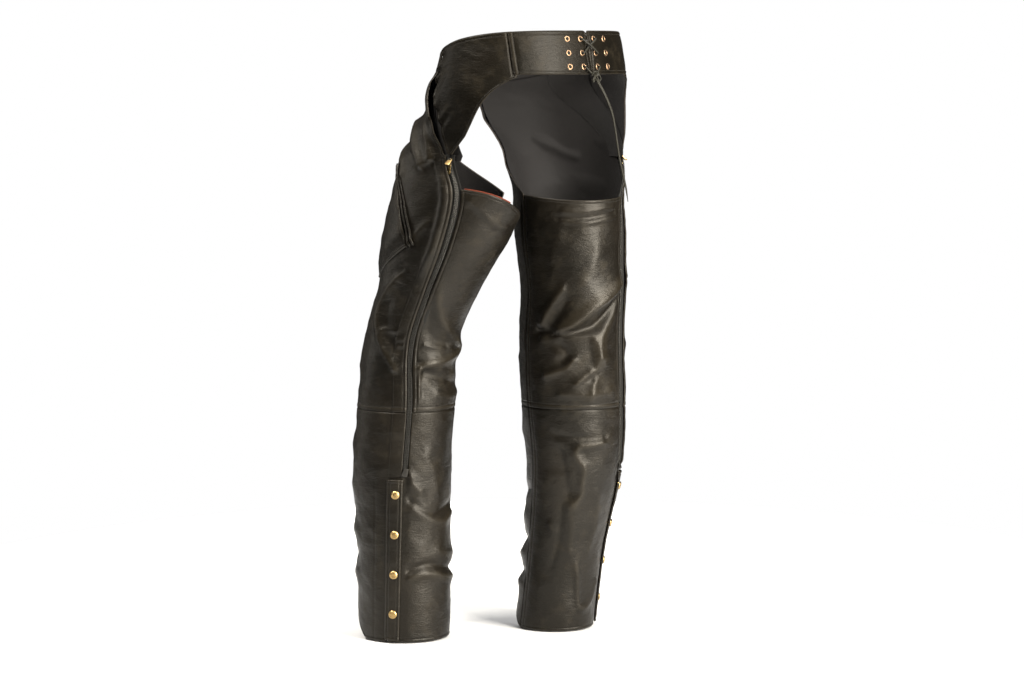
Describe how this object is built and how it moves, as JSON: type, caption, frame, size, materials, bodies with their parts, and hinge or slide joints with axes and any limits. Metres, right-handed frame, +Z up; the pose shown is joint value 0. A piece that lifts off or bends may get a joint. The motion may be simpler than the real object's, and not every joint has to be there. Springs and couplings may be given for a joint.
{
  "type": "leather riding chaps",
  "caption": "Open-seated leather riding chaps in their worn shape, laced at the back waist, with two-way side zips and snap flaps.",
  "frame": {"origin": "centre of the waist opening, level with the belt's top edge at the middle of the back", "axes": "+Z up along the standing wearer, -Y the way the wearer faces, +X the wearer's left"},
  "size_m": [0.4133, 0.4639, 1.075],
  "materials": {
    "leather": "semi-gloss black-brown top-grain hide, soft folds",
    "brass": "antiqued brass, polished on the high spots",
    "lace": "matt dark leather thong",
    "zip": "dark metal teeth on black woven tape",
    "tab": "semi-gloss leather tab",
    "buckle": "antiqued brass"
  },
  "bodies": {
    "chaps": {"back_belt_left": "leather", "hip_yoke_left": "leather", "front_belt_left": "leather", "front_upper_left": "leather", "back_upper_left": "leather", "front_lower_left": "leather", "back_lower_left": "leather", "back_belt_right": "leather", "hip_yoke_right": "leather", "front_belt_right": "leather", "front_upper_right": "leather", "back_upper_right": "leather", "front_lower_right": "leather", "back_lower_right": "leather", "thigh_pocket": "leather", "lace": "lace", "lace_tail_long": "lace", "lace_tail_short": "lace", "eyelet_left_1": "brass", "eyelet_left_2": "brass", "eyelet_left_3": "brass", "eyelet_left_4": "brass", "eyelet_left_5": "brass", "eyelet_left_6": "brass", "eyelet_right_1": "brass", "eyelet_right_2": "brass", "eyelet_right_3": "brass", "eyelet_right_4": "brass", "eyelet_right_5": "brass", "eyelet_right_6": "brass", "snap_stud_left_1": "brass", "snap_stud_left_2": "brass", "snap_stud_left_3": "brass", "snap_stud_left_4": "brass", "snap_stud_right_1": "brass", "snap_stud_right_2": "brass", "snap_stud_right_3": "brass", "snap_stud_right_4": "brass", "zip_chain_left": "zip", "zip_chain_right": "zip"},
    "snap_flap_left": {"snap_flap_left": "leather", "snap_cap_left_1": "brass", "snap_cap_left_2": "brass", "snap_cap_left_3": "brass", "snap_cap_left_4": "brass"},
    "zip_top_slider_left": {"zip_top_slider_left": "brass"},
    "zip_top_pull_left": {"zip_top_pull_left": "brass"},
    "zip_bottom_slider_left": {"zip_bottom_slider_left": "brass"},
    "zip_bottom_pull_left": {"zip_bottom_pull_left": "tab"},
    "snap_flap_right": {"snap_flap_right": "leather", "snap_cap_right_1": "brass", "snap_cap_right_2": "brass", "snap_cap_right_3": "brass", "snap_cap_right_4": "brass"},
    "zip_top_slider_right": {"zip_top_slider_right": "brass"},
    "zip_top_pull_right": {"zip_top_pull_right": "brass"},
    "zip_bottom_slider_right": {"zip_bottom_slider_right": "brass"},
    "zip_bottom_pull_right": {"zip_bottom_pull_right": "tab"},
    "buckle_frame": {"buckle_frame": "buckle"},
    "buckle_prong": {"buckle_prong": "buckle"}
  },
  "joints": [
    {"name": "snap_flap_left_open", "type": "hinge", "parent": "chaps", "child": "snap_flap_left", "pos_m": [0.21147, -0.15233, -0.928], "axis": [0.0153, -0.0119, -0.9998], "range_deg": [0, 95]},
    {"name": "zip_top_slider_left_slide", "type": "slide", "parent": "chaps", "child": "zip_top_slider_left", "axis": [0.1344, -0.2154, 0.9672], "range_m": [-0.039, 0]},
    {"name": "zip_top_pull_left_swing", "type": "hinge", "parent": "zip_top_slider_left", "child": "zip_top_pull_left", "pos_m": [0.19435, -0.01273, -0.22412], "axis": [0.1404, -0.9621, -0.2337], "range_deg": [-5, 140]},
    {"name": "zip_bottom_slider_left_slide", "type": "slide", "parent": "chaps", "child": "zip_bottom_slider_left", "axis": [-0.046, 0.0541, 0.9975], "range_m": [0, 0.12]},
    {"name": "zip_bottom_pull_left_swing", "type": "hinge", "parent": "zip_bottom_slider_left", "child": "zip_bottom_pull_left", "pos_m": [0.19128, -0.12146, -0.77283], "axis": [0.729, -0.6809, 0.0706], "range_deg": [0, 140]},
    {"name": "snap_flap_right_open", "type": "hinge", "parent": "chaps", "child": "snap_flap_right", "pos_m": [-0.17428, 0.02517, -0.928], "axis": [0.0307, 0.2605, 0.965], "range_deg": [0, 95]},
    {"name": "zip_top_slider_right_slide", "type": "slide", "parent": "chaps", "child": "zip_top_slider_right", "axis": [-0.4222, -0.4414, 0.7918], "range_m": [-0.047, 0]},
    {"name": "zip_top_pull_right_swing", "type": "hinge", "parent": "zip_top_slider_right", "child": "zip_top_pull_right", "pos_m": [-0.17846, 0.06687, -0.22434], "axis": [0.2759, 0.7694, 0.5761], "range_deg": [-14, 140]},
    {"name": "zip_bottom_slider_right_slide", "type": "slide", "parent": "chaps", "child": "zip_bottom_slider_right", "axis": [0.0339, 0.064, 0.9974], "range_m": [0, 0.12]},
    {"name": "zip_bottom_pull_right_swing", "type": "hinge", "parent": "zip_bottom_slider_right", "child": "zip_bottom_pull_right", "pos_m": [-0.1462, 0.08892, -0.77295], "axis": [0.9106, 0.4093, -0.0572], "range_deg": [-2, 140]},
    {"name": "buckle_frame_swing", "type": "hinge", "parent": "chaps", "child": "buckle_frame", "pos_m": [0.024, -0.13816, -0.07688], "axis": [0, 0.3654, 0.9309], "range_deg": [0, 10]},
    {"name": "buckle_prong_swing", "type": "hinge", "parent": "buckle_frame", "child": "buckle_prong", "pos_m": [0.024, -0.13816, -0.07688], "axis": [0, 0.3654, 0.9309], "range_deg": [0, 12]}
  ]
}
